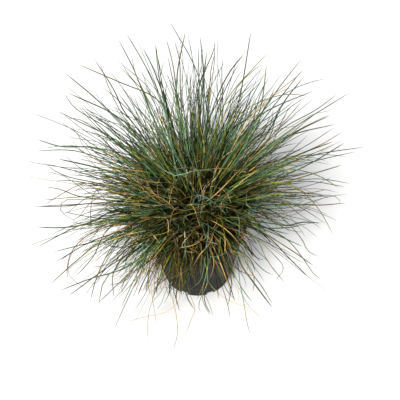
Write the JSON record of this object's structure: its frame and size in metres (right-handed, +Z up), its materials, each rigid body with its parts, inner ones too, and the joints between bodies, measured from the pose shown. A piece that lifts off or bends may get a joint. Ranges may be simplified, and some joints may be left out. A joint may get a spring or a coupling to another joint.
{
  "type": "potted blue fescue clump",
  "caption": "Clump of blue fescue in a plain black nursery pot: fine stiff blades spread from a dense brown crown as a loose half ball and droop over the rim.",
  "frame": {"origin": "centre of the pot's flat underside", "axes": "+Z up, the pot's axis; +Y away from the picture's viewer; +X to the viewer's right"},
  "size_m": [0.3326, 0.2962, 0.2812],
  "materials": {
    "pot_plastic": "black injection-moulded polypropylene with a low sheen, dusty",
    "potting_mix": "dark peat and bark fines, matt",
    "crown_thatch": "matted brown leaf sheaths and dead blades, matt",
    "leaf_blades": "waxy blue-green needle-fine blades, satin",
    "drying_leaf_blades": "green blades among yellow and straw-coloured dry ones, satin"
  },
  "bodies": {
    "root": {"pot": "pot_plastic", "soil": "potting_mix", "crown": "crown_thatch", "tuft_01": "leaf_blades", "tuft_02": "leaf_blades", "tuft_03": "leaf_blades", "tuft_04": "leaf_blades", "tuft_05": "leaf_blades", "tuft_06": "leaf_blades", "tuft_07": "leaf_blades", "tuft_08": "leaf_blades", "tuft_09": "leaf_blades", "tuft_10": "leaf_blades", "tuft_11": "leaf_blades", "tuft_12": "leaf_blades", "tuft_13": "leaf_blades", "tuft_14": "leaf_blades", "tuft_15": "leaf_blades", "tuft_16": "leaf_blades", "tuft_17": "leaf_blades", "tuft_18": "leaf_blades", "tuft_19": "leaf_blades", "tuft_20": "leaf_blades", "tuft_21": "leaf_blades", "tuft_22": "leaf_blades", "tuft_23": "leaf_blades", "tuft_24": "leaf_blades", "tuft_25": "leaf_blades", "tuft_26": "leaf_blades", "tuft_27": "leaf_blades", "tuft_28": "leaf_blades", "tuft_29": "leaf_blades", "tuft_30": "leaf_blades", "tuft_31": "leaf_blades", "tuft_32": "leaf_blades", "tuft_33": "leaf_blades", "tuft_34": "leaf_blades", "tuft_35": "leaf_blades", "tuft_36": "leaf_blades", "tuft_37": "drying_leaf_blades", "tuft_38": "drying_leaf_blades", "tuft_39": "drying_leaf_blades", "tuft_40": "drying_leaf_blades", "tuft_41": "drying_leaf_blades", "tuft_42": "drying_leaf_blades", "tuft_43": "drying_leaf_blades", "tuft_44": "drying_leaf_blades", "tuft_45": "drying_leaf_blades", "tuft_46": "drying_leaf_blades", "tuft_47": "drying_leaf_blades", "tuft_48": "drying_leaf_blades", "tuft_49": "drying_leaf_blades", "tuft_50": "drying_leaf_blades", "tuft_51": "drying_leaf_blades", "tuft_52": "drying_leaf_blades", "tuft_53": "drying_leaf_blades", "tuft_54": "drying_leaf_blades"}
  },
  "joints": []
}
